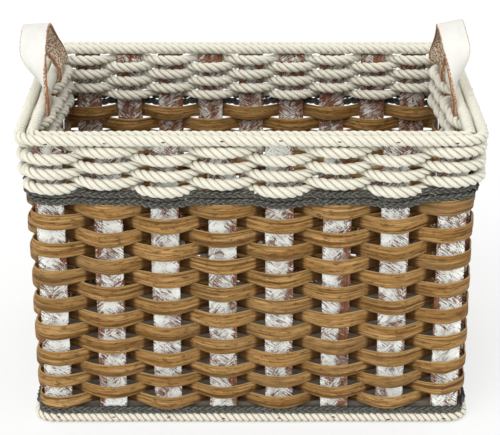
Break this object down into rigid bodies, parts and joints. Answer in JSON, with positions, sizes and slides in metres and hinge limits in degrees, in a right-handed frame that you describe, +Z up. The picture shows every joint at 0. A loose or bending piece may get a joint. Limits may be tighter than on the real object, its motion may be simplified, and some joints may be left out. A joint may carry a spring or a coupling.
{
  "type": "woven file basket",
  "caption": "Rectangular woven basket for letter-size folders: painted stakes, brown reed rows, cream rope rows and rim, grey cord bands and leather strap handles.",
  "frame": {"origin": "under the middle of the base board, on the surface that the basket stands on", "axes": "+Z up, -Y out of the long front wall, +X to the right of someone who faces it"},
  "size_m": [0.3857, 0.277, 0.3194],
  "materials": {
    "painted_stake": "worn white paint",
    "brown_reed": "satin stain",
    "cream_rope": "twisted cotton",
    "grey_cord": "braided",
    "grey_board": "grey stain",
    "strap_leather": "white painted outside, raw suede inside"
  },
  "bodies": {
    "basket": {"back_stake_1": "painted_stake", "back_stake_2": "painted_stake", "back_stake_3": "painted_stake", "back_stake_4": "painted_stake", "back_stake_5": "painted_stake", "back_stake_6": "painted_stake", "back_stake_7": "painted_stake", "back_stake_8": "painted_stake", "back_stake_9": "painted_stake", "band_cord_lower": "grey_cord", "band_cord_upper": "grey_cord", "base_board": "grey_board", "base_rope": "cream_rope", "foot_cord": "grey_cord", "front_stake_1": "painted_stake", "front_stake_2": "painted_stake", "front_stake_3": "painted_stake", "front_stake_4": "painted_stake", "front_stake_5": "painted_stake", "front_stake_6": "painted_stake", "front_stake_7": "painted_stake", "front_stake_8": "painted_stake", "left_stake_1": "painted_stake", "left_stake_2": "painted_stake", "left_stake_3": "painted_stake", "left_stake_4": "painted_stake", "left_stake_5": "painted_stake", "left_strap_tails": "strap_leather", "reed_row_01": "brown_reed", "reed_row_02": "brown_reed", "reed_row_03": "brown_reed", "reed_row_04": "brown_reed", "reed_row_05": "brown_reed", "reed_row_06": "brown_reed", "reed_row_07": "brown_reed", "reed_row_08": "brown_reed", "reed_row_09": "brown_reed", "reed_row_10": "brown_reed", "reed_row_11": "brown_reed", "reed_row_12": "brown_reed", "reed_row_13": "brown_reed", "reed_row_14": "brown_reed", "reed_row_15": "brown_reed", "reed_row_16": "brown_reed", "right_stake_1": "painted_stake", "right_stake_2": "painted_stake", "right_stake_3": "painted_stake", "right_stake_4": "painted_stake", "right_stake_5": "painted_stake", "right_strap_tails": "strap_leather", "rim_inner_rope": "cream_rope", "rim_outer_rope": "cream_rope", "rope_row_1": "cream_rope", "rope_row_2": "cream_rope", "rope_row_3": "cream_rope", "rope_row_4": "cream_rope", "rope_row_5": "cream_rope", "rope_row_6": "cream_rope"},
    "left_handle": {"left_handle_strap": "strap_leather"},
    "right_handle": {"right_handle_strap": "strap_leather"}
  },
  "joints": [
    {"name": "left_handle_swing", "type": "hinge", "parent": "basket", "child": "left_handle", "pos_m": [-0.16932, 0, 0.25886], "axis": [0, 1, 0], "range_deg": [-42, 83]},
    {"name": "right_handle_swing", "type": "hinge", "parent": "basket", "child": "right_handle", "pos_m": [0.16932, 0, 0.25886], "axis": [0, -1, 0], "range_deg": [-65, 60]}
  ]
}
